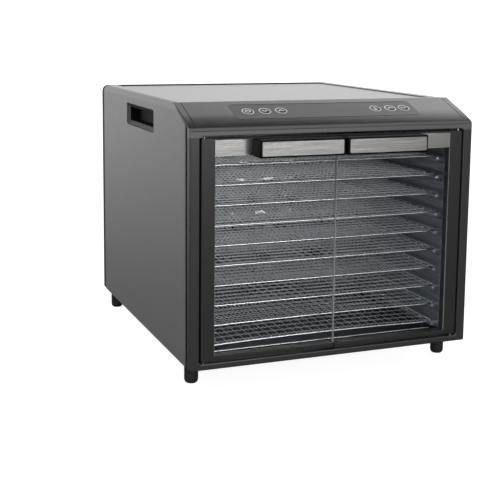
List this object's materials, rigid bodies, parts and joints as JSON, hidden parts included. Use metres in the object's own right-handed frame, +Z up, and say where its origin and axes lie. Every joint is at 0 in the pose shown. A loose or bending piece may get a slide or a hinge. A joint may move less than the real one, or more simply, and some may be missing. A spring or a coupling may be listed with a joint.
{
  "type": "food dehydrator",
  "caption": "Cabinet food dehydrator with glass double doors, sliding mesh drying trays, a rear fan and heater, and a sloped touch control panel.",
  "frame": {"origin": "bottom centre of the overall box, on the surface that the feet stand on", "axes": "+X to the right seen from the front, the doors face -Y, +Z up"},
  "size_m": [0.445, 0.525, 0.4],
  "materials": {
    "shell": "satin grey metallic sheet",
    "dark_cover": "satin near-black",
    "feet": "matte black",
    "grab_cup": "satin dark grey",
    "bezel": "satin dark grey",
    "fascia": "satin mid-grey",
    "touch_glass": "gloss smoked",
    "circuit_board": "matte green",
    "liner_steel": "satin sheet",
    "tray_steel": "bright wire mesh",
    "bright_steel": "fine brushed",
    "black_plastic": "gloss black",
    "door_frame": "satin dark grey",
    "door_glass": "clear tempered",
    "fan_metal": "matte",
    "motor": "matte",
    "heater": "heat-dulled steel"
  },
  "bodies": {
    "cabinet": {"left_side_panel": "shell", "right_side_panel": "shell", "top_panel": "shell", "rear_cover": "dark_cover", "base_pan": "dark_cover", "foot_front_left": "feet", "foot_front_right": "feet", "foot_rear_left": "feet", "foot_rear_right": "feet", "left_grab_handle": "grab_cup", "right_grab_handle": "grab_cup", "front_bezel": "bezel", "control_fascia": "fascia", "touch_panel": "touch_glass", "control_board": "circuit_board", "left_liner": "liner_steel", "right_liner": "liner_steel", "liner_floor": "liner_steel", "liner_top": "liner_steel", "rear_baffle": "liner_steel", "catch_top": "black_plastic", "catch_bottom": "black_plastic", "fan_shroud": "fan_metal", "fan_motor": "motor", "motor_bracket": "liner_steel", "heater_element": "heater", "temperature_probe": "heater", "power_board": "circuit_board", "power_inlet": "black_plastic", "hinge_pin_left_top": "bright_steel", "hinge_pin_left_bottom": "bright_steel", "hinge_pin_right_top": "bright_steel", "hinge_pin_right_bottom": "bright_steel"},
    "fan": {"fan_impeller": "fan_metal", "fan_shaft": "fan_metal"},
    "drip": {"drip_tray": "tray_steel"},
    "left_door": {"left_door_frame": "door_frame", "left_door_glass": "door_glass", "left_door_top_rail": "bright_steel", "left_handle": "black_plastic", "left_handle_plate": "bright_steel"},
    "right_door": {"right_door_frame": "door_frame", "right_door_glass": "door_glass", "right_door_top_rail": "bright_steel", "right_handle": "black_plastic", "right_handle_plate": "bright_steel"},
    "tray_01": {"tray_01": "tray_steel"},
    "tray_02": {"tray_02": "tray_steel"},
    "tray_03": {"tray_03": "tray_steel"},
    "tray_04": {"tray_04": "tray_steel"},
    "tray_05": {"tray_05": "tray_steel"},
    "tray_06": {"tray_06": "tray_steel"},
    "tray_07": {"tray_07": "tray_steel"},
    "tray_08": {"tray_08": "tray_steel"},
    "tray_09": {"tray_09": "tray_steel"},
    "tray_10": {"tray_10": "tray_steel"}
  },
  "joints": [
    {"name": "left_door_hinge", "type": "hinge", "parent": "cabinet", "child": "left_door", "pos_m": [-0.2002, -0.2298, 0.2], "axis": [0, 0, 1], "range_deg": [-110, 0]},
    {"name": "right_door_hinge", "type": "hinge", "parent": "cabinet", "child": "right_door", "pos_m": [0.2002, -0.2298, 0.2], "axis": [0, 0, 1], "range_deg": [0, 110]},
    {"name": "fan_spin", "type": "hinge", "parent": "cabinet", "child": "fan", "pos_m": [0, 0.19, 0.2], "axis": [0, 1, 0], "continuous": true},
    {"name": "tray_01_slide", "type": "slide", "parent": "cabinet", "child": "tray_01", "axis": [0, -1, 0], "range_m": [0, 0.012]},
    {"name": "tray_02_slide", "type": "slide", "parent": "cabinet", "child": "tray_02", "axis": [0, -1, 0], "range_m": [0, 0.012]},
    {"name": "tray_03_slide", "type": "slide", "parent": "cabinet", "child": "tray_03", "axis": [0, -1, 0], "range_m": [0, 0.012]},
    {"name": "tray_04_slide", "type": "slide", "parent": "cabinet", "child": "tray_04", "axis": [0, -1, 0], "range_m": [0, 0.012]},
    {"name": "tray_05_slide", "type": "slide", "parent": "cabinet", "child": "tray_05", "axis": [0, -1, 0], "range_m": [0, 0.012]},
    {"name": "tray_06_slide", "type": "slide", "parent": "cabinet", "child": "tray_06", "axis": [0, -1, 0], "range_m": [0, 0.012]},
    {"name": "tray_07_slide", "type": "slide", "parent": "cabinet", "child": "tray_07", "axis": [0, -1, 0], "range_m": [0, 0.012]},
    {"name": "tray_08_slide", "type": "slide", "parent": "cabinet", "child": "tray_08", "axis": [0, -1, 0], "range_m": [0, 0.012]},
    {"name": "tray_09_slide", "type": "slide", "parent": "cabinet", "child": "tray_09", "axis": [0, -1, 0], "range_m": [0, 0.012]},
    {"name": "tray_10_slide", "type": "slide", "parent": "cabinet", "child": "tray_10", "axis": [0, -1, 0], "range_m": [0, 0.012]},
    {"name": "drip_tray_slide", "type": "slide", "parent": "cabinet", "child": "drip", "axis": [0, -1, 0], "range_m": [0, 0.008]}
  ]
}
